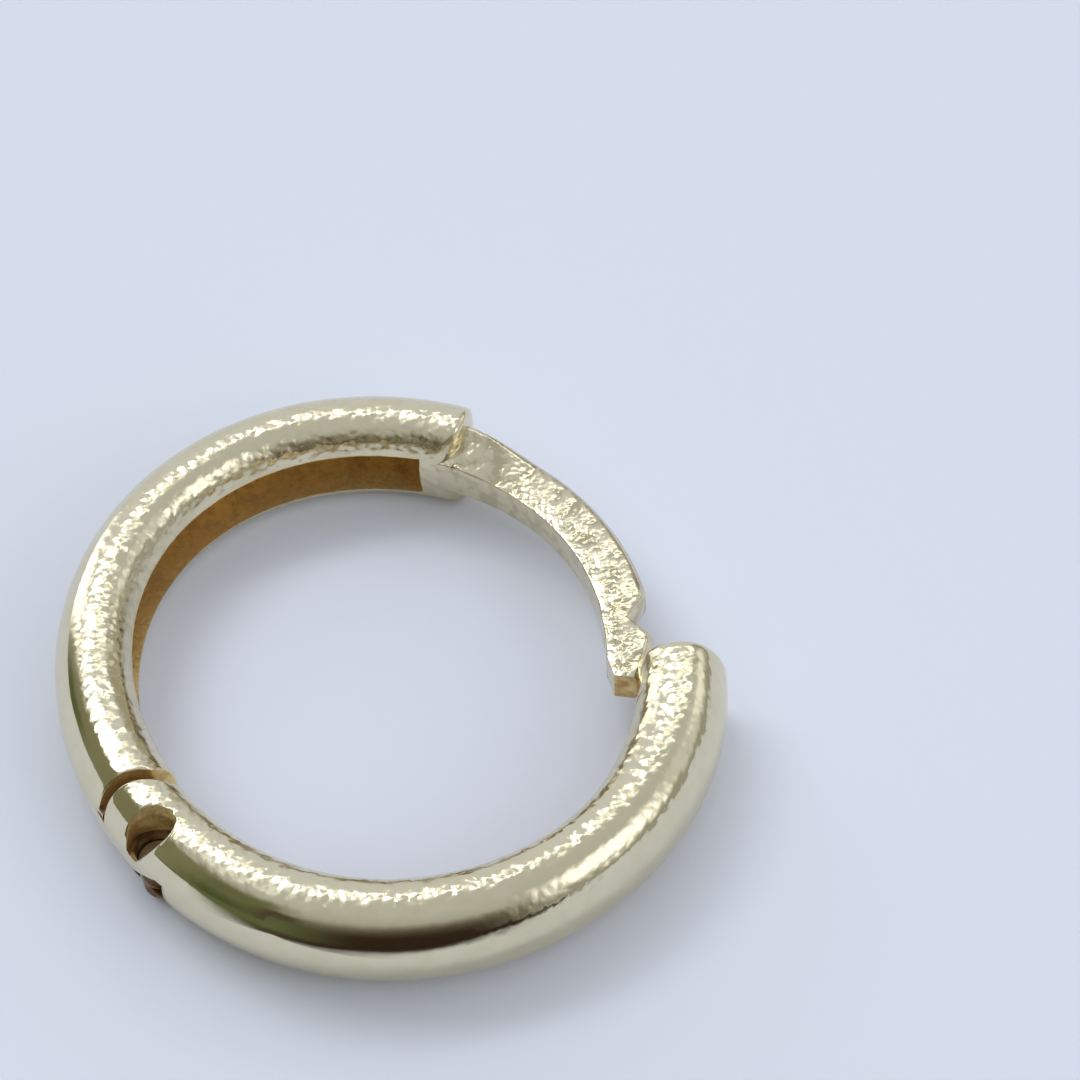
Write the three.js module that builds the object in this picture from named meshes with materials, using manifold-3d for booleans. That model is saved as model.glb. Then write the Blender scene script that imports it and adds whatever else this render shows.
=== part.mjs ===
// Hinged huggie hoop earring lying on its side: millimetres, +Z up along the hinge axis.
import * as THREE from 'three';
import { mergeVertices } from 'three/addons/utils/BufferGeometryUtils.js';
import Module from 'manifold-3d';

const wasm = await Module();
wasm.setup();

const TUBE_HEIGHT = 2.24;
const TUBE_MIDDLE = TUBE_HEIGHT / 2;
const OUTER_HALF = 0.82; // from the outer side to the crest of the section
const INNER_HALF = 0.72; // from the crest to the inner side
const OUTER_POWER = 2.0;
const INNER_POWER = 2.5;

// Plan of each half: the centre of its curve, its outer radius and how far it is bent out of round
const BACK = {
  centre: [0, 0], radius: 6.0, twofold: [-0.0154, -0.0059], threefold: [0.0075, 0.0073],
};
const FRONT = {
  centre: [0.335, -0.772], radius: 6.0, twofold: [0.025, -0.0392], threefold: [0.0129, 0.007],
};

// Angles along each half, degrees about its own centre
const BACK_CLASP_END = 61.7;
const BACK_HINGE_END = 210.5; // of the inner corner
const BACK_WINDOW = [70, 195];
const FRONT_CLASP_END = 352.25;
const FRONT_WINDOW = [231.5, 349];
const FRONT_SWELL = 0.24; // share by which the inner side thickens towards the clasp
const FRONT_SWELL_SPAN = [300, 341];

// Rounded clasp end of the front half: how far it stands past the plain tube
const FRONT_END_ROUND = 0.22;
const END_LEDGE = 0.012;

// Channel cast into the inner side of each half, and the mouth that takes the post
const CHANNEL_HEIGHT = 1.1;
const BACK_CHANNEL_MIDDLE = 1.04;
const FRONT_CHANNEL_MIDDLE = 1.12;
const CHANNEL_WALL = 0.42;
const CHANNEL_CORNER = 0.16;
const MOUTH_LIP = 0.82;

// Ear post: a flat bar in plan, radius and degrees about the back half's centre
const POST_HEIGHT = 0.7;
const POST_EDGE = 0.06;
const POST_OUTER = [[5.52, 67], [5.49, 61], [5.43, 50], [5.41, 38], [5.4, 25], [5.4, 6]];
const POST_TIP = [
  [5.37, 3.4], // upper flank of the notch
  [4.98, -1.3], // bottom of the notch
  [5.37, -6.4], // shoulder
  [5.12, -17.2], // tip, outer corner
  [4.66, -17.6], // tip, inner corner
];
const POST_INNER = [[4.49, -12.5], [4.45, -1], [4.44, 11], [4.44, 25], [4.44, 40], [4.44, 53], [4.46, 67]];

// Hinge: the ends of both halves are round about one place, just outside the pin
const PIN_PLACE = [5.535, 219.9]; // radius, degrees about the back half's centre
const ROUND_PLACE = [5.83, 221.4];
const EAR_RADIUS = 1.26;
const HINGE_END_RADIUS = 1.475;
const PIN_RADIUS = 0.37;
const PIN_ENDS = [0.2, 1.05]; // heights: it stops well below the upper ear's top
const TONGUE_HOLE_RADIUS = 0.38;
const LOWER_EAR_HOLE_RADIUS = 0.4;
const UPPER_EAR_HOLE_RADIUS = 0.46;
const EAR_SHOULDER = 0.55; // how far past the pin the ears' inner corners reach
const EAR_TURN = -9; // from the pin's own direction to the front half's
const SLOT_MIDDLE = 1.07;
const SLOT_HEIGHT = 0.66;
const SLOT_PAST_PIN = 0.72;
const TONGUE_HEIGHT = 0.58;
const TONGUE_RADIUS = 0.45;
const TONGUE_ROOT = 204;
const TONGUE_ROOT_RADII = [4.86, 5.8];

const radians = THREE.MathUtils.degToRad;

function polar(radius, degrees) {
  return new THREE.Vector2(radius * Math.cos(radians(degrees)), radius * Math.sin(radians(degrees)));
}

const PIN = polar(...PIN_PLACE);
const ROUND_CENTRE = polar(...ROUND_PLACE);

class HoopPath extends THREE.Curve {
  constructor(half, from, to) {
    super();
    this.half = half;
    this.from = from;
    this.to = to;
  }

  getPoint(t) {
    const { centre, radius, twofold, threefold } = this.half;
    const a = radians(this.from + (this.to - this.from) * t);
    const bend2 = twofold[0] * Math.cos(2 * a) + twofold[1] * Math.sin(2 * a);
    const bend3 = threefold[0] * Math.cos(3 * a) + threefold[1] * Math.sin(3 * a);
    const r = radius * (1 + bend2 + bend3);
    return new THREE.Vector3(centre[0] + r * Math.cos(a), centre[1] + r * Math.sin(a), 0);
  }
}

function solid(geometry) {
  geometry.deleteAttribute('normal');
  geometry.deleteAttribute('uv');
  const merged = mergeVertices(geometry, 1e-4);
  return new wasm.Manifold(new wasm.Mesh({
    numProp: 3,
    vertProperties: merged.attributes.position.array,
    triVerts: new Uint32Array(merged.index.array),
  }));
}

// Sweeps an outline given as [depth below the outer side, height] along part of a half
function sweep(outline, half, from, to, steps) {
  const shape = new THREE.Shape(outline.map(([depth, height]) => new THREE.Vector2(-height, depth)));
  const extrudePath = new HoopPath(half, from, to);
  return new THREE.ExtrudeGeometry(shape, { extrudePath, steps });
}

// Tube section: elliptical outside, squarer inside, a narrow flat at top and bottom
function tubeOutline(inset = 0, swell = 0, count = 36) {
  const outline = [];
  for (let i = 0; i < count; i += 1) {
    const a = (2 * Math.PI * (i + 0.5)) / count;
    const inner = Math.cos(a) > 0;
    const power = inner ? INNER_POWER : OUTER_POWER;
    const half = inner ? INNER_HALF * (1 + swell) : OUTER_HALF;
    const across = Math.sign(Math.cos(a)) * Math.abs(Math.cos(a)) ** (2 / power);
    const up = Math.sign(Math.sin(a)) * Math.abs(Math.sin(a)) ** (2 / power);
    const highest = Math.abs(Math.sin(a)) > Math.cos(Math.PI / count) - 1e-6;
    const height = highest ? Math.sign(up) : up;
    outline.push([OUTER_HALF + (half - inset) * across, TUBE_MIDDLE + (TUBE_MIDDLE - inset) * height]);
  }
  return outline;
}

// Front tube, its inner side thickening towards the clasp
function frontTube(from) {
  const geometry = sweep(tubeOutline(), FRONT, from, FRONT_CLASP_END, 54);
  const place = geometry.attributes.position;
  const centre = new THREE.Vector2(...FRONT.centre);
  const path = new HoopPath(FRONT, 0, 360);
  for (let i = 0; i < place.count; i += 1) {
    const arm = new THREE.Vector2(place.getX(i), place.getY(i)).sub(centre);
    const degrees = THREE.MathUtils.radToDeg(arm.angle());
    const outside = path.getPoint(degrees / 360);
    const crest = Math.hypot(outside.x - centre.x, outside.y - centre.y) - OUTER_HALF;
    const inward = Math.max(crest - arm.length(), 0);
    const swell = FRONT_SWELL * THREE.MathUtils.smoothstep(degrees, ...FRONT_SWELL_SPAN);
    arm.setLength(arm.length() - inward * swell);
    place.setXY(i, arm.x + centre.x, arm.y + centre.y);
  }
  return solid(geometry);
}

// Short straight stub of the tube with rounded edges, closing the end of a half
function roundedEnd(half, degrees, round, swell) {
  const points = tubeOutline(END_LEDGE, swell).map(([depth, height]) => new THREE.Vector2(-height, depth));
  const geometry = new THREE.ExtrudeGeometry(new THREE.Shape(points), {
    depth: 0.2, bevelThickness: round, bevelSize: round, bevelOffset: -round, bevelSegments: 5,
  });
  geometry.translate(0, 0, -0.2);
  const path = new HoopPath(half, degrees, degrees + 1);
  const along = path.getTangent(0).normalize();
  const up = new THREE.Vector3(0, 0, -1);
  const across = new THREE.Vector3().crossVectors(along, up);
  const frame = new THREE.Matrix4().makeBasis(up, across, along).setPosition(path.getPoint(0));
  return solid(geometry.applyMatrix4(frame));
}

// Channel section, from a depth to beyond the inner face
function channelOutline(floor, middle) {
  const bottom = middle - CHANNEL_HEIGHT / 2;
  const top = middle + CHANNEL_HEIGHT / 2;
  const open = OUTER_HALF + INNER_HALF + 0.5;
  return [
    [open, bottom], [open, top],
    [floor + CHANNEL_CORNER, top], [floor, top - CHANNEL_CORNER],
    [floor, bottom + CHANNEL_CORNER], [floor + CHANNEL_CORNER, bottom],
  ];
}

// A block of the given height that fills one side of an upright plane through a place
function block(place, degrees, middle, height, back = 0) {
  const geometry = new THREE.BoxGeometry(4, 5, height);
  geometry.translate(2 - back, 0, 0);
  geometry.rotateZ(radians(degrees));
  geometry.translate(place.x, place.y, middle);
  return solid(geometry);
}

// A plate of the given plan outline, centred on a height
function plate(shape, middle, height, curveSegments, edge = 0) {
  const geometry = new THREE.ExtrudeGeometry(shape, {
    depth: height - 2 * edge,
    curveSegments,
    bevelEnabled: edge > 0,
    bevelThickness: edge,
    bevelSize: edge,
    bevelOffset: -edge,
    bevelSegments: 2,
  });
  geometry.translate(0, 0, middle - height / 2 + edge);
  return solid(geometry);
}

// An upright cylinder between two heights
function cylinder(place, radius, bottom = -1, top = TUBE_HEIGHT + 1, sides = 36) {
  const geometry = new THREE.CylinderGeometry(radius, radius, top - bottom, sides);
  geometry.rotateX(Math.PI / 2);
  geometry.translate(place.x, place.y, (bottom + top) / 2);
  return solid(geometry);
}

function earPost() {
  const points = (stations) => stations.map((station) => polar(...station));
  const shape = new THREE.Shape();
  shape.moveTo(...polar(...POST_OUTER[0]).toArray());
  shape.splineThru(points(POST_OUTER.slice(1)));
  for (const station of POST_TIP) shape.lineTo(...polar(...station).toArray());
  shape.lineTo(...polar(...POST_INNER[0]).toArray());
  shape.splineThru(points(POST_INNER.slice(1)));
  return plate(shape, TUBE_MIDDLE, POST_HEIGHT, 4, POST_EDGE);
}

// Flat tongue that reaches from the back half past the pin, its end rounded about the pin
function hingeTongue() {
  const [inner, outer] = TONGUE_ROOT_RADII;
  const outward = PIN_PLACE[1];
  const shape = new THREE.Shape();
  shape.moveTo(...polar(inner, TONGUE_ROOT).toArray());
  shape.lineTo(...polar(outer, TONGUE_ROOT).toArray());
  shape.lineTo(...polar(outer + 0.03, TONGUE_ROOT + 6).toArray());
  shape.absarc(PIN.x, PIN.y, TONGUE_RADIUS, radians(outward - 16), radians(outward + 180), false);
  return plate(shape, SLOT_MIDDLE, TONGUE_HEIGHT, 16);
}

function backHalf() {
  const tube = solid(sweep(tubeOutline(), BACK, BACK_CLASP_END, BACK_HINGE_END, 54))
    .subtract(cylinder(ROUND_CENTRE, HINGE_END_RADIUS, -1, TUBE_HEIGHT + 1, 72));
  const channel = sweep(channelOutline(CHANNEL_WALL, BACK_CHANNEL_MIDDLE), BACK, ...BACK_WINDOW, 42);
  const body = tube.subtract(solid(channel)).add(earPost()).add(hingeTongue());
  return body.subtract(cylinder(PIN, TONGUE_HOLE_RADIUS));
}

// Front half: its hinge end is sawn into two ears, rounded and drilled for the pin
function frontHalf() {
  const channel = sweep(channelOutline(CHANNEL_WALL, FRONT_CHANNEL_MIDDLE), FRONT, ...FRONT_WINDOW, 40);
  const mouth = sweep(channelOutline(MOUTH_LIP, FRONT_CHANNEL_MIDDLE), FRONT, FRONT_WINDOW[1] - 1, 359, 5);
  const tube = frontTube(193).add(roundedEnd(FRONT, FRONT_CLASP_END, FRONT_END_ROUND, FRONT_SWELL));
  const towardsBack = PIN_PLACE[1] - 90 + EAR_TURN;
  const past = block(PIN, towardsBack, TUBE_MIDDLE, TUBE_HEIGHT * 1.5, -EAR_SHOULDER)
    .subtract(cylinder(ROUND_CENTRE, EAR_RADIUS, -1, TUBE_HEIGHT + 1, 72));
  const slot = block(PIN, towardsBack, SLOT_MIDDLE, SLOT_HEIGHT, SLOT_PAST_PIN);
  const drilled = cylinder(PIN, LOWER_EAR_HOLE_RADIUS, -1, SLOT_MIDDLE)
    .add(cylinder(PIN, UPPER_EAR_HOLE_RADIUS, SLOT_MIDDLE));
  return tube.subtract(solid(channel)).subtract(solid(mouth)).subtract(past).subtract(slot).subtract(drilled);
}

function mesh(name, manifold, color, roughness) {
  const { vertProperties, triVerts } = manifold.getMesh();
  const geometry = new THREE.BufferGeometry();
  geometry.setAttribute('position', new THREE.Float32BufferAttribute(vertProperties, 3));
  geometry.setIndex(Array.from(triVerts));
  const material = new THREE.MeshStandardMaterial({ color, roughness, metalness: 1 });
  const piece = new THREE.Mesh(geometry, material);
  piece.name = name;
  return piece;
}

const hoop = new THREE.Group();
hoop.name = 'hinged_hoop_earring';
hoop.add(mesh('back_half', backHalf(), 0xd6c48c, 0.25));
hoop.add(mesh('front_half', frontHalf(), 0xd6c48c, 0.25));
hoop.add(mesh('hinge_pin', cylinder(PIN, PIN_RADIUS, ...PIN_ENDS), 0xc4ae74, 0.35));

// Origin under the middle of the whole, on the surface it lies on
const box = new THREE.Box3().setFromObject(hoop);
const middle = box.getCenter(new THREE.Vector3());
for (const piece of hoop.children) piece.geometry.translate(-middle.x, -middle.y, -box.min.z);

export default hoop;
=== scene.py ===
from math import acos, atan2, copysign, cos, degrees, hypot, pi, radians, sin, tan

import bmesh
import bpy
from mathutils import Matrix, Vector


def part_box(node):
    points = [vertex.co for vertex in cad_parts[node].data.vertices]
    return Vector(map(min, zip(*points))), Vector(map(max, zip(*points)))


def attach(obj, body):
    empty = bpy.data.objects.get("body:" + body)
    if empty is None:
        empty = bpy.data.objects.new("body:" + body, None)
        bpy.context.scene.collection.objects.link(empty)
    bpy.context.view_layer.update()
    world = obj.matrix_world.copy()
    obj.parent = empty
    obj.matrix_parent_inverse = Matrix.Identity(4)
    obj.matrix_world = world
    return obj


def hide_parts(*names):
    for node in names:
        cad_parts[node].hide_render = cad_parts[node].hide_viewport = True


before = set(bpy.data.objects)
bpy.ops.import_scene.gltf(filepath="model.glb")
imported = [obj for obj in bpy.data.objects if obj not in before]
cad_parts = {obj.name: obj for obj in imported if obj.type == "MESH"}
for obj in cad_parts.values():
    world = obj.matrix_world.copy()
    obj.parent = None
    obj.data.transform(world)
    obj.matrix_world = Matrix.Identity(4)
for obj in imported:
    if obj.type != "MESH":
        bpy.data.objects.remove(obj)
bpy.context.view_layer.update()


# Back half of the hoop: a gold tube of rounded section, cast hollow with a long channel open on its
# inner side. Wear has bent it a little out of round; its clasp end is cut square, and its hinge end is
# hollowed to clear the other half. Sizes are in millimetres and degrees about the centre of its curve.
MM = 0.001
BACK = {"centre": (0.0, 0.0), "radius": 6.0,
        "twofold": (-0.0154, -0.0059), "threefold": (0.0075, 0.0073)}
BACK_ENDS = (61.5, 207.2)
BACK_CORNER = 210.5
BACK_WINDOW = (70.0, 195.0)
BACK_STEPS = (8, 125, 14)  # up to the window, along it and after it
BACK_CHANNEL_MIDDLE = 1.04
TUBE_MIDDLE = 1.12
OUTER_HALF, INNER_HALF = 0.82, 0.72
OUTER_POWER, INNER_POWER = 2.0, 2.5
SECTION_SIDES = 96
CHANNEL_HEIGHT, CHANNEL_WALL = 1.1, 0.42
CHANNEL_DRAFT = 0.86  # the channel's floor, as a share of its mouth
INNER_SIDE = 0.4  # how far in from the middle of the section the inner side begins
RIM_ROUND = 0.03
CLASP_ROUND, CLASP_ROOM, CLASP_SLIDE = 0.12, 0.8, 8.5
HINGE_ROUND, HINGE_ROOM, HINGE_SLIDE = 0.03, 0.4, 12
CLASP_WEAR_DEPTHS, CLASP_WEAR = (0.55, 0.9), (5, 10)  # on the outer and on the inner side
HINGE_END_RADIUS, HINGE_LEAD = 1.46, 13
PIN_TURN, PIN_FROM_CENTRE = 219.9, 5.535
ROUND_TURN, ROUND_FROM_CENTRE = 221.4, 5.83
SHARP_ANGLE = 38
FROST_DEPTHS = (0.40, 0.75)
PALE_GOLD, WORN_GOLD = (0.78, 0.71, 0.505), (0.745, 0.675, 0.47)
STAINED_GOLD, CLEAN_GOLD = (0.66, 0.46, 0.19), (0.93, 0.74, 0.38)
PEBBLE_SIZE, PEBBLE_SMOOTH = 0.18, 0.6


def outer_radius(half, angle):
    """The radius of a half's outer side at an angle in degrees, bent out of round."""
    a = radians(angle)
    twofold = half["twofold"][0] * cos(2 * a) + half["twofold"][1] * sin(2 * a)
    threefold = half["threefold"][0] * cos(3 * a) + half["threefold"][1] * sin(3 * a)
    return half["radius"] * (1 + twofold + threefold)


def on_half(half, depth, angle, height, radius=None):
    """The place at a depth below the outer side of a half, an angle round it and a height."""
    r = (radius or outer_radius(half, angle)) - depth
    a = radians(angle)
    return Vector((half["centre"][0] + r * cos(a), half["centre"][1] + r * sin(a), height))


def round_place(half, point):
    """How deep a point is below the outer side of a half, and its angle round it in degrees."""
    x, y = point.x - half["centre"][0], point.y - half["centre"][1]
    angle = degrees(atan2(y, x)) % 360
    return outer_radius(half, angle) - hypot(x, y), angle


def smooth_rise(value, start, stop):
    """0 at start, 1 at stop, and a smooth rise between them."""
    level = min(max((value - start) / (stop - start), 0.0), 1.0)
    return level * level * (3 - 2 * level)


PIN = on_half(BACK, 0, PIN_TURN, 0, PIN_FROM_CENTRE)
ROUND_CENTRE = on_half(BACK, 0, ROUND_TURN, 0, ROUND_FROM_CENTRE)


def tube_section(bm, half, angle, channel_middle):
    """A face in the shape of the tube's section, standing across the half's curve."""
    ring = bmesh.ops.create_circle(bm, cap_ends=True, segments=SECTION_SIDES, radius=1.0)["verts"]
    places = {}
    for v in ring:
        power, deep = (INNER_POWER, INNER_HALF) if v.co.x > 0 else (OUTER_POWER, OUTER_HALF)
        across = copysign(abs(v.co.x) ** (2 / power), v.co.x)
        up = copysign(abs(v.co.y) ** (2 / power), v.co.y)
        places[v] = [OUTER_HALF + deep * across, TUBE_MIDDLE * (1 + up)]
    inner = [v for v in ring if places[v][0] > OUTER_HALF]
    for edge in (channel_middle - CHANNEL_HEIGHT / 2, channel_middle + CHANNEL_HEIGHT / 2):
        nearest = min(inner, key=lambda v: abs(places[v][1] - edge))
        share = abs(edge / TUBE_MIDDLE - 1)
        depth = OUTER_HALF + INNER_HALF * (1 - share ** INNER_POWER) ** (1 / INNER_POWER)
        places[nearest] = [depth, edge]
    for v, (depth, height) in places.items():
        v.co = on_half(half, depth, angle, height, half["radius"])
    return ring[0].link_faces[0]


def spin_on(bm, face, half, degrees_on, steps):
    """Carries the open end of a tube further round the half."""
    last = bmesh.ops.spin(bm, geom=[*face.verts, *face.edges, face], cent=(*half["centre"], 0),
                          axis=(0, 0, 1), angle=radians(degrees_on), steps=steps)
    return next(g for g in last["geom_last"] if isinstance(g, bmesh.types.BMFace))


def bend(bm, half):
    """Bends a round half to its own curve."""
    for v in bm.verts:
        depth, angle = round_place(half, v.co)
        depth += half["radius"] - outer_radius(half, angle)
        v.co = on_half(half, depth, angle, v.co.z)


def round_end(bm, face, half, onward, amount, steps):
    """Draws an end out by an amount while its section shrinks, so that its edge is a quarter round."""
    middle = face.calc_center_median()
    angle = radians(round_place(half, middle)[1])
    along = Vector((-sin(angle), cos(angle), 0)) * onward
    square = (Matrix.Translation(middle) @ Matrix.Rotation(angle, 4, "Z")).inverted()
    reach, scale = 0.0, (1.0, 1.0)
    for step in range(1, steps + 1):
        turn = pi / 2 * step / steps
        inset = amount * (1 - cos(turn))
        new_reach = amount * sin(turn)
        new_scale = (1 - 2 * inset / (OUTER_HALF + INNER_HALF), 1 - inset / TUBE_MIDDLE)
        grown = bmesh.ops.extrude_face_region(bm, geom=[face])["geom"]
        if face.is_valid:
            bmesh.ops.delete(bm, geom=[face], context="FACES_ONLY")
        face = next(g for g in grown if isinstance(g, bmesh.types.BMFace))
        shrink = (new_scale[0] / scale[0], 1.0, new_scale[1] / scale[1])
        bmesh.ops.scale(bm, verts=face.verts, vec=shrink, space=square)
        bmesh.ops.translate(bm, verts=face.verts, vec=along * (new_reach - reach))
        reach, scale = new_reach, new_scale
    return face


def slide_end(bm, half, end, onward, reach, target):
    """Slides the end of a tube along the half, to an angle that depends on the depth."""
    for v in bm.verts:
        depth, angle = round_place(half, v.co)
        level = smooth_rise((angle - end) * onward, -reach, 0)
        if level > 0:
            v.co = on_half(half, depth, angle + (target(depth) - end) * level, v.co.z)


def worn_clasp(depth):
    """For slide_end: the angle of the clasp end at each depth, worn back on its two sides."""
    outer = CLASP_WEAR[0] * max(CLASP_WEAR_DEPTHS[0] - depth, 0) ** 2
    inner = CLASP_WEAR[1] * max(depth - CLASP_WEAR_DEPTHS[1], 0) ** 2
    return BACK_ENDS[0] + inner + outer


def rounded(half, radius, corner):
    """For slide_end: the angle at which each depth comes to a radius about the hinge, up to a corner."""
    arm = Vector((ROUND_CENTRE.x - half["centre"][0], ROUND_CENTRE.y - half["centre"][1]))
    middle, p = degrees(atan2(arm.y, arm.x)) % 360, arm.length

    def target(depth):
        r = outer_radius(half, middle - HINGE_LEAD) - depth
        cosine = (r * r + p * p - radius * radius) / (2 * r * p)
        return min(middle - degrees(acos(min(cosine, 1.0))), corner)

    return target


def strip_end(bm, half, face, finish):
    """Divides an end into strips across the tube, so that it can be hollowed, and gives it a finish."""
    face.material_index = finish
    upper = [v for v in face.verts if v.co.z > TUBE_MIDDLE]
    lower = [v for v in face.verts if v.co.z < TUBE_MIDDLE]
    for v in upper:
        deep = round_place(half, v.co)[0]
        across = min(lower, key=lambda other: abs(round_place(half, other.co)[0] - deep))
        if not any(across in e.verts for e in v.link_edges):
            bmesh.ops.connect_verts(bm, verts=[v, across])


def cast_channel(bm, half, window, channel_middle, hollow):
    """Sinks the inner side of the tube between two angles, and softens the rim that is left."""
    inside = []
    for f in bm.faces:
        middle = f.calc_center_median()
        depth, angle = round_place(half, middle)
        if depth > OUTER_HALF + INNER_SIDE and window[0] < angle < window[1]:
            if abs(middle.z - channel_middle) < CHANNEL_HEIGHT / 2:
                inside.append(f)
    edges = {e for f in inside for e in f.edges}
    rim = [e for e in edges if sum(f in inside for f in e.link_faces) == 1]
    grown = bmesh.ops.extrude_face_region(bm, geom=inside)["geom"]
    bmesh.ops.delete(bm, geom=[f for f in inside if f.is_valid], context="FACES_ONLY")
    sunk = [g for g in grown if isinstance(g, bmesh.types.BMFace)]
    for v in {v for f in sunk for v in f.verts}:
        height = channel_middle + (v.co.z - channel_middle) * CHANNEL_DRAFT
        v.co = on_half(half, CHANNEL_WALL, round_place(half, v.co)[1], height)
    for f in {f for g in sunk for v in g.verts for f in v.link_faces}:
        f.material_index = hollow
    bmesh.ops.bevel(bm, geom=[e for e in rim if e.is_valid], offset=RIM_ROUND, segments=3, profile=0.5,
                    affect="EDGES", material=-1, clamp_overlap=True)


def frame_shift():
    """From where these sections put the hinge pin to where the frame has it, in metres."""
    lo, hi = (Vector(c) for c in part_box("hinge_pin"))
    shift = (lo + hi) / 2 - PIN * MM
    shift.z = 0
    return shift


def into_place(bm, name, materials):
    """Turns a bmesh in millimetres into a piece in the frame."""
    bmesh.ops.scale(bm, verts=bm.verts, vec=(MM, MM, MM))
    bmesh.ops.translate(bm, verts=bm.verts, vec=frame_shift())
    bmesh.ops.recalc_face_normals(bm, faces=bm.faces)
    mesh = bpy.data.meshes.new(name)
    bm.to_mesh(mesh)
    bm.free()
    mesh.shade_smooth()
    mesh.set_sharp_from_angle(angle=radians(SHARP_ANGLE))
    for material in materials:
        mesh.materials.append(material)
    piece = bpy.data.objects.new(name, mesh)
    bpy.context.scene.collection.objects.link(piece)
    return piece


def mark_frost(piece, half, scuffed):
    """Writes how frosted a tube is at each point: fully inside, and outside only where it is scuffed."""
    shift = frame_shift()
    frost = piece.data.attributes.new("frost", "FLOAT", "POINT")
    for v in piece.data.vertices:
        depth, angle = round_place(half, (v.co - shift) / MM)
        frost.data[v.index].value = max(smooth_rise(depth, *FROST_DEPTHS), scuffed(angle))


class Wire:
    """A socket in a node tree. Sums on it add Math nodes, and node() adds a node of any other kind."""

    def __init__(self, tree, socket=None):
        self.tree, self.socket = tree, socket

    def node(self, kind, settings=None, sockets=None, out=0):
        made = self.tree.nodes.new("ShaderNode" + kind)
        for name, value in (settings or {}).items():
            setattr(made, name, value)
        for name, value in (sockets or {}).items():
            self.feed(made.inputs[name], value)
        return Wire(self.tree, made.outputs[out])

    def feed(self, socket, value):
        if isinstance(value, Wire):
            self.tree.links.new(value.socket, socket)
        elif socket.type == "RGBA":
            socket.default_value = (*value, 1)
        else:
            socket.default_value = value

    def math(self, operation, *values):
        return self.node("Math", {"operation": operation}, dict(enumerate(values)))

    def __add__(self, other):
        return self.math("ADD", self, other)

    def __sub__(self, other):
        return self.math("SUBTRACT", self, other)

    def __rsub__(self, other):
        return self.math("SUBTRACT", other, self)

    def __mul__(self, other):
        return self.math("MULTIPLY", self, other)

    __radd__, __rmul__ = __add__, __mul__

    def rise(self, start, stop):
        """0 below start, 1 above stop, and a smooth rise between them."""
        levels = {"Value": self, "From Min": start, "From Max": stop}
        return self.node("MapRange", {"interpolation_type": "SMOOTHSTEP"}, levels)

    def blend(self, first, second):
        """The first colour where this mask is 0, and the second where it is 1."""
        colours = {"Factor": self, 6: first, 7: second}
        return self.node("Mix", {"data_type": "RGBA"}, colours, out=2)


def metal(name):
    """A new metal material: it, its shader, its wires, noise on it, and a way to raise its surface."""
    material = bpy.data.materials.new(name)
    material.use_nodes = True
    shader = material.node_tree.nodes["Principled BSDF"]
    shader.inputs["Metallic"].default_value = 1.0
    wire = Wire(material.node_tree)
    place = wire.node("TexCoord", out="Object")

    def noise(size, detail, roughness=0.5):
        """Noise in lumps of a size in millimetres."""
        levels = {"Vector": place, "Scale": 1 / MM / size, "Detail": detail, "Roughness": roughness}
        return wire.node("TexNoise", {}, levels)

    def relief(height):
        """Raises the surface by a height in thousandths of a millimetre."""
        bump = wire.node("Bump", {}, {"Strength": 1.0, "Distance": MM * MM, "Height": height})
        wire.feed(shader.inputs["Normal"], bump)

    return material, shader, wire, noise, relief


gold, shader, wire, noise, relief = metal("worn_gold")
frost = wire.node("Attribute", {"attribute_name": "frost"}, out="Fac")
patches = noise(0.45, 2.0)
spot = wire.node("TexCoord", out="Object")
pebbles = wire.node("TexVoronoi", {"feature": "SMOOTH_F1"},
                    {"Vector": spot, "Scale": 1 / MM / PEBBLE_SIZE, "Smoothness": PEBBLE_SMOOTH})
grain = noise(0.15, 1.0) * 8.0 - pebbles * 19.0 + noise(0.08, 2.0) * 3.0
relief(noise(1.1, 1.0) * 12.0 + grain * (frost * 0.96 + 0.04))
wire.feed(shader.inputs["Roughness"], 0.07 + frost * (0.09 + 0.09 * patches.rise(0.4, 0.65)))
wire.feed(shader.inputs["Base Color"], patches.rise(0.35, 0.65).blend(PALE_GOLD, WORN_GOLD))

hollow_gold, shader, wire, noise, relief = metal("unpolished_gold")
blotches = noise(0.35, 4.0, 0.65)
stain = blotches.rise(0.38, 0.62)
wire.feed(shader.inputs["Base Color"], stain.blend(STAINED_GOLD, CLEAN_GOLD))
wire.feed(shader.inputs["Roughness"], 0.62 - 0.2 * stain)
relief(blotches * 14.0 + noise(0.08, 2.0) * 8.0)

bm = bmesh.new()
clasp = tube_section(bm, BACK, BACK_ENDS[0] + CLASP_ROOM, BACK_CHANNEL_MIDDLE)
hinge = spin_on(bm, clasp, BACK, BACK_WINDOW[0] - BACK_ENDS[0] - CLASP_ROOM, BACK_STEPS[0])
hinge = spin_on(bm, hinge, BACK, BACK_WINDOW[1] - BACK_WINDOW[0], BACK_STEPS[1])
hinge = spin_on(bm, hinge, BACK, BACK_ENDS[1] - HINGE_ROOM - BACK_WINDOW[1], BACK_STEPS[2])
bmesh.ops.recalc_face_normals(bm, faces=bm.faces)
clasp = next(f for f in bm.faces if len(f.verts) == SECTION_SIDES and f is not hinge)
bend(bm, BACK)
clasp = round_end(bm, clasp, BACK, -1, CLASP_ROUND, 6)
hinge = round_end(bm, hinge, BACK, 1, HINGE_ROUND, 3)
strip_end(bm, BACK, clasp, 0)
strip_end(bm, BACK, hinge, 1)
bmesh.ops.recalc_face_normals(bm, faces=bm.faces)
slide_end(bm, BACK, BACK_ENDS[0], -1, CLASP_SLIDE, worn_clasp)
cast_channel(bm, BACK, BACK_WINDOW, BACK_CHANNEL_MIDDLE, 1)
slide_end(bm, BACK, BACK_ENDS[1], 1, HINGE_SLIDE, rounded(BACK, HINGE_END_RADIUS, BACK_CORNER))
back_tube = into_place(bm, "back_tube", [gold, hollow_gold])
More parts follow.
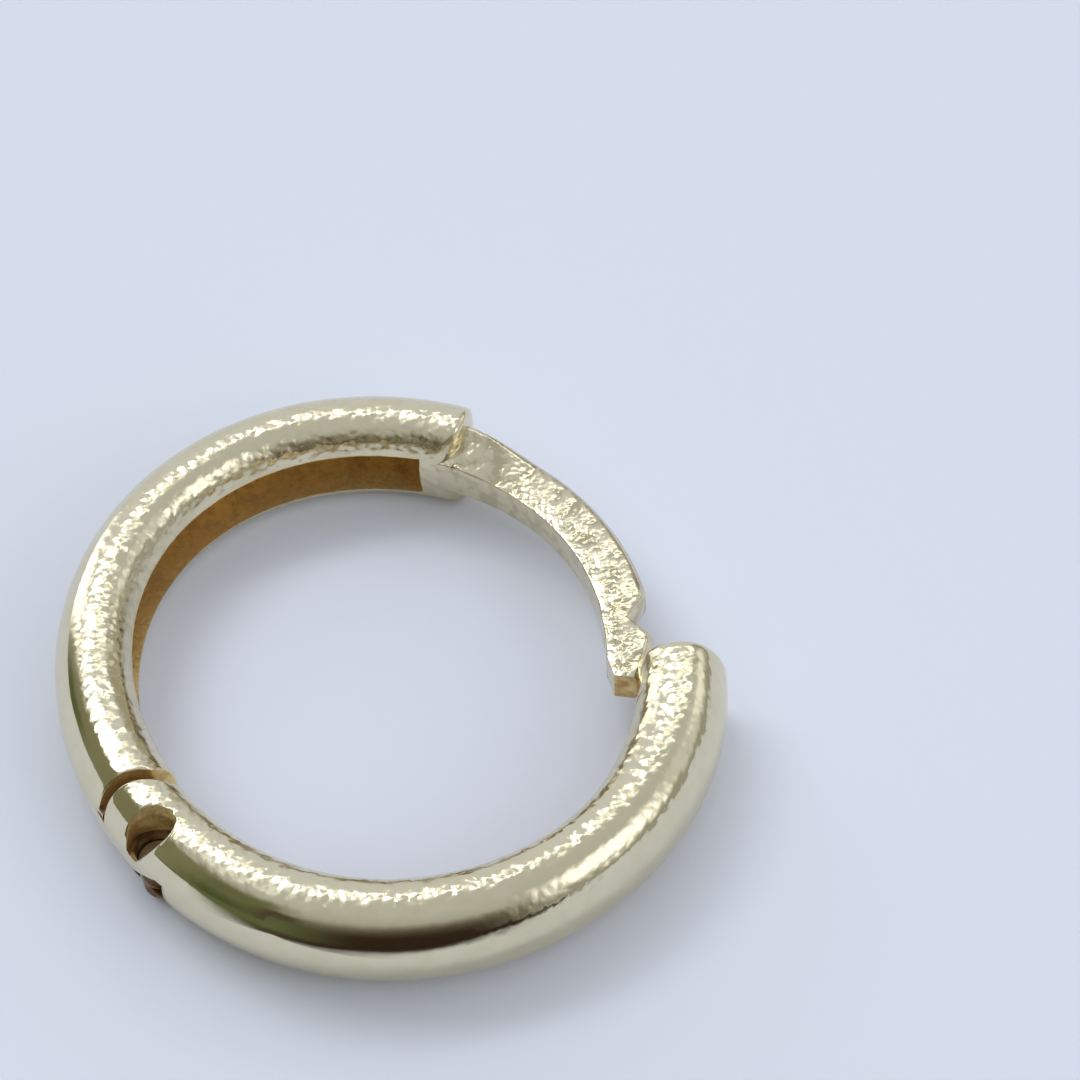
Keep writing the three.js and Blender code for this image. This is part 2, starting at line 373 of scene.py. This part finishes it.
mark_frost(back_tube, BACK, lambda angle: 0.0)
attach(back_tube, "back")
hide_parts("back_half")


# Ear post: a flat cast bar of the same gold, curved with the hoop, with its root run in solder at the
# clasp end. A notch is filed across its outer side near the tip, where the lip of the front half snaps
# in, and the end of the tip is left unpolished.
POST_HEIGHTS = (0.77, 1.47)
POST_DRAWN_FROM = 4.5  # the bar is drawn 1 mm deep from this radius, and then filed
POST_STEP = 1.5
POST_FILED = [  # degrees, outer radius, inner radius
    (67, 5.52, 4.46), (61, 5.49, 4.45), (50, 5.43, 4.44), (38, 5.41, 4.44), (25, 5.40, 4.44),
    (6, 5.40, 4.445), (3.4, 5.37, 4.45), (-1.3, 4.98, 4.45), (-6.4, 5.37, 4.465), (-12.5, 5.23, 4.49),
    (-17.4, 5.12, 4.66),
]
FILED_SLACK = 1e-4
POST_CORNERS = ((True, 0.2), (False, 0.04))  # outer or inner side, and how far its corners are rounded
TIP_ROUND = 0.035
SOLDER_SPAN = (42.0, 62.0)
SOLDER_RISE = (0.08, 0.40)  # at the inner side and at the outer side
BEAD_TURN, BEAD_FROM_CENTRE, BEAD_HEIGHT, BEAD_RADIUS = 60.3, 4.52, 1.52, 0.11
SIDE_FROST, TOP_FACING = 0.12, (0.35, 0.9)
PITTED_GOLD, CAST_GOLD = (0.60, 0.525, 0.345), (0.75, 0.675, 0.48)


def post_end(bm):
    """The end of the tip, which is the foremost of the post's two many-sided faces."""
    return min((f for f in bm.faces if len(f.verts) > 4), key=lambda f: f.calc_center_median().y)


cast_gold, shader, wire, noise, relief = metal("cast_gold")
frost = wire.node("Attribute", {"attribute_name": "frost"}, out="Fac")
pits = noise(0.32, 2.0, 0.6)
relief(noise(0.7, 1.0) * 24.0 + (pits * 38.0 + noise(0.12, 2.0) * 6.0) * frost)
wire.feed(shader.inputs["Roughness"], 0.10 + frost * 0.10 * pits.rise(0.4, 0.6))
wire.feed(shader.inputs["Base Color"], pits.rise(0.35, 0.55).blend(PITTED_GOLD, CAST_GOLD))

bm = bmesh.new()
bar = bmesh.ops.create_grid(bm, x_segments=1, y_segments=1, size=0.5)["verts"]
for v in bar:
    radius, height = POST_DRAWN_FROM + (v.co.x > 0), POST_HEIGHTS[v.co.y > 0]
    v.co = on_half(BACK, 0, POST_FILED[0][0], height, radius)
for on_outer, amount in POST_CORNERS:
    corners = [v for v in bar if v.is_valid and (v.co.xy.length > POST_DRAWN_FROM + 0.5) == on_outer]
    bmesh.ops.bevel(bm, geom=corners, offset=amount, segments=6, profile=0.5, affect="VERTICES",
                    material=-1, clamp_overlap=True)
tip = next(iter(bm.faces))
for (start, *_), (stop, *_) in zip(POST_FILED, POST_FILED[1:]):
    tip = spin_on(bm, tip, BACK, stop - start, max(1, round((start - stop) / POST_STEP)))
stations = list(reversed(POST_FILED))
for v in bm.verts:
    angle, share = degrees(atan2(v.co.y, v.co.x)), v.co.xy.length - POST_DRAWN_FROM
    for (a0, *low), (a1, *high) in zip(stations, stations[1:]):
        if a0 - FILED_SLACK <= angle <= a1 + FILED_SLACK:
            outer, inner = (p + (q - p) * (angle - a0) / (a1 - a0) for p, q in zip(low, high))
    level = max(v.co.z - TUBE_MIDDLE, 0) / (POST_HEIGHTS[1] - TUBE_MIDDLE) * smooth_rise(angle, *SOLDER_SPAN)
    height = v.co.z + level * (SOLDER_RISE[0] + (SOLDER_RISE[1] - SOLDER_RISE[0]) * share)
    v.co = on_half(BACK, 0, angle, height, inner + (outer - inner) * share)
bmesh.ops.recalc_face_normals(bm, faces=bm.faces)
bmesh.ops.bevel(bm, geom=list(post_end(bm).edges), offset=TIP_ROUND, segments=3, profile=0.5,
                affect="EDGES", material=-1, clamp_overlap=True)
post_end(bm).material_index = 1
bead = bmesh.ops.create_icosphere(bm, subdivisions=3, radius=BEAD_RADIUS)["verts"]
bmesh.ops.translate(bm, verts=bead, vec=on_half(BACK, 0, BEAD_TURN, BEAD_HEIGHT, BEAD_FROM_CENTRE))
ear_post = into_place(bm, "ear_post", [cast_gold, hollow_gold])
frost = ear_post.data.attributes.new("frost", "FLOAT", "POINT")
for v in ear_post.data.vertices:
    frost.data[v.index].value = SIDE_FROST + (1 - SIDE_FROST) * smooth_rise(v.normal.z, *TOP_FACING)
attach(ear_post, "back")
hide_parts("back_half")


# Hinge tongue: a flat lug soldered to the back half, which reaches between the two ears of the front
# half and turns with the pin. Its end is filed flush with the outer side and slants away below.
FRONT = {"centre": (0.335, -0.772), "radius": 6.0,
         "twofold": (0.025, -0.0392), "threefold": (0.0129, 0.007)}
TONGUE_HEIGHTS, SOLDER_HEIGHTS = (0.63, 1.395), (0.63, 1.5)
TONGUE_RADIUS, TONGUE_HOLE = 0.66, 0.38
TONGUE_START, TONGUE_TURN = 203.9, 196
TONGUE_ROOT = [(4.86, 204.0), (5.95, 204.0), (5.95, 210.0)]
SOLDER_PLAN = [(5.3, 203.0), (5.95, 203.0), (5.95, 208.4), (5.3, 207.4)]
SLANT_ENDS = ((216.3, 1.39), (207.8, 0.85))  # degrees about the front half's centre, and heights
SLANT_TURN, SLANT_DROP = 212, -0.7
FILED_BELOW = 0.003
BACK_FILED_UNTIL, FRONT_FILED_UNTIL = 209, 360
POLISHED_FACING, HOLE_MARGIN = 0.6, 1.05
DARK_SHADE_AND_TARNISH, LIGHT_SHADE_AND_TARNISH = (0.17, 0.10, 0.055), (0.36, 0.23, 0.11)

# A dark gold for the faces in the slot between the ears, in the pin holes and on the pin's side: painted
# shade of these narrow places, with some tarnish.
shade_and_tarnish_gold, shader, wire, noise, relief = metal("shade_and_tarnish_gold")
stain = noise(0.3, 3.0, 0.6).rise(0.38, 0.62)
wire.feed(shader.inputs["Base Color"], stain.blend(DARK_SHADE_AND_TARNISH, LIGHT_SHADE_AND_TARNISH))
wire.feed(shader.inputs["Roughness"], 0.6 - 0.15 * stain)
relief(noise(0.1, 2.0) * 10.0)


def lug(bm, heights):
    """Fills a plan that is drawn at height 0, raises it to a plate and files it flush with both tubes."""
    drawn = [e for e in bm.edges if e.is_wire]
    faces = bmesh.ops.triangle_fill(bm, edges=drawn, use_beauty=True, use_dissolve=False)["geom"]
    faces = [g for g in faces if isinstance(g, bmesh.types.BMFace)]
    lifted = bmesh.ops.extrude_face_region(bm, geom=faces, use_keep_orig=True)["geom"]
    upper = [g for g in lifted if isinstance(g, bmesh.types.BMVert)]
    lower = list({v for f in faces for v in f.verts})
    bmesh.ops.translate(bm, verts=upper, vec=(0, 0, heights[1]))
    bmesh.ops.translate(bm, verts=lower, vec=(0, 0, heights[0]))
    tall = 0.5 * (heights[1] - heights[0])
    upright = [e for e in bm.edges if abs(e.verts[0].co.z - e.verts[1].co.z) > tall]
    bmesh.ops.subdivide_edges(bm, edges=upright, cuts=5, use_grid_fill=True)
    for v in bm.verts:
        dome = OUTER_HALF * (1 - (1 - (v.co.z / TUBE_MIDDLE - 1) ** 2) ** 0.5) + FILED_BELOW
        for half, until in ((BACK, BACK_FILED_UNTIL), (FRONT, FRONT_FILED_UNTIL)):
            depth, angle = round_place(half, v.co)
            if angle < until:
                v.co = on_half(half, max(depth, dome), angle, v.co.z)


bm = bmesh.new()
bmesh.ops.create_circle(bm, cap_ends=False, segments=40, radius=TONGUE_HOLE)
bmesh.ops.translate(bm, verts=bm.verts, vec=PIN)
towards = Vector((cos(radians(TONGUE_START)), sin(radians(TONGUE_START)), 0))
first = bm.verts.new(PIN + TONGUE_RADIUS * towards)
arc = bmesh.ops.spin(bm, geom=[first], cent=PIN, axis=(0, 0, 1), angle=radians(TONGUE_TURN), steps=32)
last = next(g for g in arc["geom_last"] if isinstance(g, bmesh.types.BMVert))
root = [bm.verts.new(on_half(BACK, 0, angle, 0, radius)) for radius, angle in TONGUE_ROOT]
for a, b in zip([last, *root], [*root, first]):
    bm.edges.new((a, b))
lug(bm, TONGUE_HEIGHTS)
high, low = (on_half(FRONT, 0, *station) for station in SLANT_ENDS)
inward = on_half(FRONT, 1, SLANT_TURN, SLANT_DROP) - on_half(FRONT, 0, SLANT_TURN, 0)
slant = (high - low).cross(inward)
cut = bmesh.ops.bisect_plane(bm, geom=[*bm.verts, *bm.edges, *bm.faces], dist=1e-5, plane_co=low,
                             plane_no=slant if slant.z < 0 else -slant, clear_outer=True)
bmesh.ops.holes_fill(bm, edges=[g for g in cut["geom_cut"] if isinstance(g, bmesh.types.BMEdge)])
solder = [bm.verts.new(on_half(BACK, 0, angle, 0, radius)) for radius, angle in SOLDER_PLAN]
for a, b in zip(solder, solder[1:] + solder[:1]):
    bm.edges.new((a, b))
lug(bm, SOLDER_HEIGHTS)
bmesh.ops.recalc_face_normals(bm, faces=bm.faces)
hinge_tongue = into_place(bm, "hinge_tongue", [gold, shade_and_tarnish_gold])
hole = PIN * MM + frame_shift()
# Faces of the tongue that don't face outward, and those in its hole, take the dark gold: painted shade of
# the slot between the ears, with some tarnish.
for f in hinge_tongue.data.polygons:
    outward = f.center.xy.dot(f.normal.xy) > POLISHED_FACING * f.center.xy.length
    in_hole = (f.center - hole).xy.length < HOLE_MARGIN * TONGUE_HOLE * MM
    f.material_index = 0 if outward and not in_hole else 1
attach(hinge_tongue, "back")
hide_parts("back_half")


# Front half of the hoop: the same tube, thicker towards the clasp. Its hinge end is sawn into two ears,
# rounded about the pin and drilled for it, and its clasp end is open on the inner side, as a mouth that
# takes the post.
FRONT_ENDS = (200.6, 352.25)
FRONT_CORNER = 204.4
FRONT_WINDOW = (231.5, 349.0)
FRONT_STEPS = (30, 118, 3)  # up to the window, along it and after it
FRONT_CHANNEL_MIDDLE = 1.12
FRONT_SWELL, FRONT_SWELL_SPAN = 0.24, (300, 341)
EAR_RADIUS, EAR_SLIDE = 1.26, 14
LIP_ROUND = 0.22
MOUTH_LIP, MOUTH_PAST = 0.82, 0.5  # depth of its outer wall, and how far it is cut past the inner side
MOUTH_BEFORE, MOUTH_TURN = 1, 11
SLOT_MIDDLE, SLOT_HEIGHT, SLOT_PAST_PIN, SLOT_TURN = 1.01, 0.78, 0.72, 120.9
SAW_LONG, SAW_WIDE = 4, 5
LOWER_EAR_HOLE, UPPER_EAR_HOLE = (0.40, 0.40), (0.48, 0.37)  # worn to an oval above
DRILL_LONG = 3
SCUFF, SCUFF_SPAN = 0.4, (265, 300)


def cut_away(piece, name, bm, finish):
    """Takes the shape of a bmesh, in millimetres, out of a piece, and gives the cut a finish."""
    cutter = into_place(bm, name, list(piece.data.materials))
    for f in cutter.data.polygons:
        f.material_index = finish
    cut = piece.modifiers.new(name, "BOOLEAN")
    cut.operation, cut.solver, cut.object = "DIFFERENCE", "EXACT", cutter
    bpy.context.view_layer.update()
    shape = piece.evaluated_get(bpy.context.evaluated_depsgraph_get())
    old, piece.data = piece.data, bpy.data.meshes.new_from_object(shape)
    piece.modifiers.clear()
    bpy.data.meshes.remove(old)
    bpy.data.objects.remove(cutter)


bm = bmesh.new()
hinge = tube_section(bm, FRONT, FRONT_ENDS[0] + HINGE_ROOM, FRONT_CHANNEL_MIDDLE)
clasp = spin_on(bm, hinge, FRONT, FRONT_WINDOW[0] - FRONT_ENDS[0] - HINGE_ROOM, FRONT_STEPS[0])
clasp = spin_on(bm, clasp, FRONT, FRONT_WINDOW[1] - FRONT_WINDOW[0], FRONT_STEPS[1])
clasp = spin_on(bm, clasp, FRONT, FRONT_ENDS[1] - FRONT_WINDOW[1], FRONT_STEPS[2])
bmesh.ops.recalc_face_normals(bm, faces=bm.faces)
hinge = next(f for f in bm.faces if len(f.verts) == SECTION_SIDES and f is not clasp)
bend(bm, FRONT)
for v in bm.verts:
    depth, angle = round_place(FRONT, v.co)
    depth += max(depth - OUTER_HALF, 0.0) * FRONT_SWELL * smooth_rise(angle, *FRONT_SWELL_SPAN)
    v.co = on_half(FRONT, depth, angle, v.co.z)
hinge = round_end(bm, hinge, FRONT, -1, HINGE_ROUND, 3)
round_end(bm, clasp, FRONT, 1, LIP_ROUND, 8)
strip_end(bm, FRONT, hinge, 1)
bmesh.ops.recalc_face_normals(bm, faces=bm.faces)
slide_end(bm, FRONT, FRONT_ENDS[0], -1, EAR_SLIDE, rounded(FRONT, EAR_RADIUS, FRONT_CORNER))
cast_channel(bm, FRONT, FRONT_WINDOW, FRONT_CHANNEL_MIDDLE, 1)
front_tube = into_place(bm, "front_tube", [gold, hollow_gold, shade_and_tarnish_gold])

bm = bmesh.new()
bmesh.ops.create_cube(bm, size=1.0)
bmesh.ops.scale(bm, verts=bm.verts, vec=(SAW_LONG, SAW_WIDE, SLOT_HEIGHT))
bmesh.ops.translate(bm, verts=bm.verts, vec=(SAW_LONG / 2 - SLOT_PAST_PIN, 0, 0))
bmesh.ops.rotate(bm, verts=bm.verts, cent=(0, 0, 0), matrix=Matrix.Rotation(radians(SLOT_TURN), 3, "Z"))
bmesh.ops.translate(bm, verts=bm.verts, vec=(PIN.x, PIN.y, SLOT_MIDDLE))
# The walls of the saw cut take the dark gold: painted shade of the narrow slot, with some tarnish.
cut_away(front_tube, "saw_cut", bm, 2)

for hole, side in ((LOWER_EAR_HOLE, -1), (UPPER_EAR_HOLE, 1)):
    bm = bmesh.new()
    bmesh.ops.create_cone(bm, cap_ends=True, segments=64, radius1=1, radius2=1, depth=DRILL_LONG)
    bmesh.ops.scale(bm, verts=bm.verts, vec=(*hole, 1))
    bmesh.ops.translate(bm, verts=bm.verts, vec=(PIN.x, PIN.y, SLOT_MIDDLE + side * DRILL_LONG / 2))
    cut_away(front_tube, "pin_hole", bm, 1)

bm = bmesh.new()
mouth = bmesh.ops.create_grid(bm, x_segments=1, y_segments=1, size=0.5)["verts"]
for v in mouth:
    depth = MOUTH_LIP if v.co.x > 0 else OUTER_HALF + INNER_HALF + MOUTH_PAST
    height = FRONT_CHANNEL_MIDDLE + copysign(CHANNEL_HEIGHT / 2, v.co.y)
    v.co = on_half(FRONT, depth, FRONT_WINDOW[1] - MOUTH_BEFORE, height, FRONT["radius"])
spin_on(bm, mouth[0].link_faces[0], FRONT, MOUTH_TURN, MOUTH_TURN)
bend(bm, FRONT)
cut_away(front_tube, "mouth", bm, 1)
mark_frost(front_tube, FRONT, lambda angle: SCUFF * smooth_rise(angle, *SCUFF_SPAN))
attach(front_tube, "front")
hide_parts("front_half")


# Hinge pin: a short length of drawn gold wire pressed through the tongue into the lower ear. Its upper
# end stops well down the hole in the upper ear, and its side is painted dark: partly tarnish, partly painted
# shade of the hole.
PIN_RADIUS, PIN_ROUND = 0.37, 0.03
PIN_ENDS = (0.2, 1.05)
EDGE_ANGLE, PIN_TOP_FACING = 1.0, 0.3
DULL_WIRE, BRIGHT_WIRE = (0.80, 0.72, 0.47), (0.90, 0.84, 0.62)

drawn_gold, shader, wire, noise, relief = metal("drawn_gold")
rubbed = noise(0.25, 3.0, 0.6).rise(0.35, 0.65)
wire.feed(shader.inputs["Base Color"], rubbed.blend(DULL_WIRE, BRIGHT_WIRE))
wire.feed(shader.inputs["Roughness"], 0.55 - 0.15 * rubbed)
relief(noise(0.12, 2.0) * 6.0)

bm = bmesh.new()
bmesh.ops.create_cone(bm, cap_ends=True, segments=48, radius1=PIN_RADIUS, radius2=PIN_RADIUS,
                      depth=PIN_ENDS[1] - PIN_ENDS[0])
bmesh.ops.translate(bm, verts=bm.verts, vec=(PIN.x, PIN.y, sum(PIN_ENDS) / 2))
ends = [e for e in bm.edges if e.calc_face_angle(0) > EDGE_ANGLE]
bmesh.ops.bevel(bm, geom=ends, offset=PIN_ROUND, segments=4, profile=0.5, affect="EDGES", material=-1,
                clamp_overlap=True)
hinge_pin = into_place(bm, "hinge_pin_wire", [drawn_gold, shade_and_tarnish_gold])
# The top takes the drawn gold, and the side takes the dark gold: painted shade of the hole, with some
# tarnish.
for f in hinge_pin.data.polygons:
    f.material_index = 0 if f.normal.z > PIN_TOP_FACING else 1
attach(hinge_pin, "back")
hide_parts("hinge_pin")


# Floor: a plain sheet of pale, matt paper with a bluish tint, on which the hoop lies flat. It has no
# shine at all, so that it looks the same from every side.
FLOOR_REACH = 400
FLOOR_TINT = (0.855, 0.89, 1.0)


def matt(name):
    """A new material with no shine: it, its shader and its wires."""
    material = bpy.data.materials.new(name)
    material.use_nodes = True
    shader = material.node_tree.nodes["Principled BSDF"]
    shader.inputs["Roughness"].default_value = 0.9
    shader.inputs["Specular IOR Level"].default_value = 0.0
    return material, shader, Wire(material.node_tree)


def laid_out(name, faces, material):
    """An object made of flat faces, each given by its corners in millimetres."""
    bm = bmesh.new()
    for corners in faces:
        bm.faces.new([bm.verts.new(Vector(corner) * MM) for corner in corners])
    mesh = bpy.data.meshes.new(name)
    bm.to_mesh(mesh)
    bm.free()
    mesh.materials.append(material)
    sheet = bpy.data.objects.new(name, mesh)
    bpy.context.scene.collection.objects.link(sheet)
    return sheet


paper, shader, wire = matt("pale_paper")
wire.feed(shader.inputs["Base Color"], FLOOR_TINT)
corners = [(x * FLOOR_REACH, y * FLOOR_REACH, 0) for x, y in ((-1, -1), (1, -1), (1, 1), (-1, 1))]
floor = laid_out("floor", [corners], paper)


# Card: a piece of dark card with soft edges, as a studio uses to darken a reflection. It lies on the
# floor in front of the hoop and stands up beyond it, and it shows only in the polished gold.
CARD_LIFT = 0.02
CARD_PLAN = [(-380, 50), (-6, -1), (-6, -8.5), (20, -8.5), (140, -380), (-380, -380)]
CARD_FOLD = -14
CARD_UPRIGHT = [(-12.5, CARD_LIFT), (12, CARD_LIFT), (12, 9.5), (-12.5, 9.5)]
CARD_RAG, CARD_RAG_SIZE = 2, 2.5
CARD_GREEN, CARD_BROWN = (0.16, 0.19, 0.09), (0.045, 0.026, 0.018)

dark_card, shader, wire = matt("dark_card")
spot = wire.node("TexCoord", out="Object")
parts = [wire.node("SeparateXYZ", {}, {"Vector": spot}, out=axis) for axis in "XYZ"]
across, along, above = (part * (1 / MM) for part in parts)
rag = {"Vector": spot, "Scale": 1 / MM / CARD_RAG_SIZE, "Detail": 2.0}
ragged = wire.node("TexNoise", {}, rag) * CARD_RAG
front_edge = (1 - (along + ragged).rise(-11.5, -8.5)) * (1 - across.rise(-1, 6))
left_edge = (across * -0.6 - along * 0.8 + ragged).rise(8.2, 12.2)
left_edge = left_edge * (across * 0.31 - along * 0.95).rise(2.5, 6.5)
top_edge = 1 - above.rise(2.5, 9.2)
wire.feed(shader.inputs["Alpha"], (1 - (1 - front_edge) * (1 - left_edge)) * top_edge)
wire.feed(shader.inputs["Base Color"], across.rise(-12, -4).blend(CARD_GREEN, CARD_BROWN))
lying = [(x, y, CARD_LIFT) for x, y in CARD_PLAN]
upright = [(x, CARD_FOLD, z) for x, z in CARD_UPRIGHT]
card = laid_out("card", [lying, upright], dark_card)
card.visible_camera = card.visible_diffuse = card.visible_shadow = False


# Light: a plain pale room, brighter overhead, with soft-edged panes on its walls. Most panes on the near
# side are dark and most beyond the hoop are bright, and the polished gold shows them as bands.
ROOM_LOW, ROOM_HIGH = (0.36, 0.36, 0.33), (0.56, 0.59, 0.62)
ROOM_RISE = (5, 70)

world = bpy.data.worlds.new("room")
world.use_nodes = True
wire = Wire(world.node_tree)
sight = wire.node("TexCoord", out="Generated")
x, y, z = (wire.node("SeparateXYZ", {}, {"Vector": sight}, out=axis) for axis in "XYZ")
away = wire.math("ARCTAN2", x, y) * degrees(1)
near = wire.math("ARCTAN2", x * -1, y * -1) * degrees(1)
up = wire.math("ARCSINE", z) * degrees(1)


def pane(turn, left, right, low, high, soft, lean=0.0):
    """A patch on the walls between two bearings and two heights, in degrees, which may lean."""
    height = up - turn * lean
    sides = turn.rise(left - soft, left + soft) * (1 - turn.rise(right - soft, right + soft))
    return sides * height.rise(low - soft, low + soft) * (1 - height.rise(high - soft, high + soft))


room = up.rise(*ROOM_RISE).blend(ROOM_LOW, ROOM_HIGH)
for shape, colour in (
    (pane(near, -26, 46, -60, 30, 12), (0.24, 0.225, 0.19)),
    (pane(near, 46, 90, 6, 44, 9), (0.15, 0.165, 0.09)),
    (pane(near, 50, 78, -60, 14, 8), (0.08, 0.11, 0.042)),
    (pane(near, 38, 52, -60, 28, 5), (0.075, 0.05, 0.037)),
    (pane(away, -108, -52, -60, 46, 7), (0.225, 0.225, 0.15)),
    (pane(away, -69, -55, -10, 14, 5), (0.10, 0.135, 0.06)),
    (pane(away, -105, -20, 59, 72, 5), (0.95, 1.0, 1.06)),
    (pane(away, -30, 30, -60, 48, 8), (0.68, 0.72, 0.80)),
    (pane(away, 30, 62, -60, 26, 8), (0.38, 0.365, 0.29)),
    (pane(away, 58, 152, 14, 48, 8), (0.68, 0.70, 0.74)),
    (pane(away, 106, 143, 16, 46, 8), (1.7, 1.75, 1.85)),
    (pane(away, 57, 76, 18, 36, 5), (1.1, 1.13, 1.18)),
    (pane(away, -46, -29, -60, 35, 4), (1.9, 1.95, 2.0)),
    (pane(away, -65, -4, 53, 68, 2.5, 0.2), (4.4, 4.5, 4.7)),
    (pane(away, 7, 48, 57, 65, 2.5, -0.34), (2.4, 2.45, 2.55)),
):
    room = shape.blend(room, colour)
wire.feed(world.node_tree.nodes["Background"].inputs["Color"], room)
world.node_tree.nodes["Background"].inputs["Strength"].default_value = 1.0
bpy.context.scene.world = world


# Camera: at the height and angle that the outline was measured from, close to the hoop and turned a
# little on its own axis. Places are in millimetres.
CAMERA_PLACE, CAMERA_AIM = Vector((-0.3364, -29.435, 44.30)), Vector((3.3556, 3.185, 0.2))
CAMERA_ROLL = -0.0539
HALF_VIEW, SENSOR_WIDTH = 11, 36

scene = bpy.context.scene
scene.view_settings.view_transform = "Standard"
lens = bpy.data.cameras.new("camera")
lens.sensor_width = SENSOR_WIDTH
lens.lens = SENSOR_WIDTH / 2 / tan(radians(HALF_VIEW))
lens.clip_start = MM
camera = bpy.data.objects.new("camera", lens)
scene.collection.objects.link(camera)
turn = (CAMERA_AIM - CAMERA_PLACE).to_track_quat("-Z", "Y").to_matrix().to_4x4()
camera.matrix_world = Matrix.Translation(CAMERA_PLACE * MM) @ turn @ Matrix.Rotation(CAMERA_ROLL, 4, "Z")
scene.camera = camera
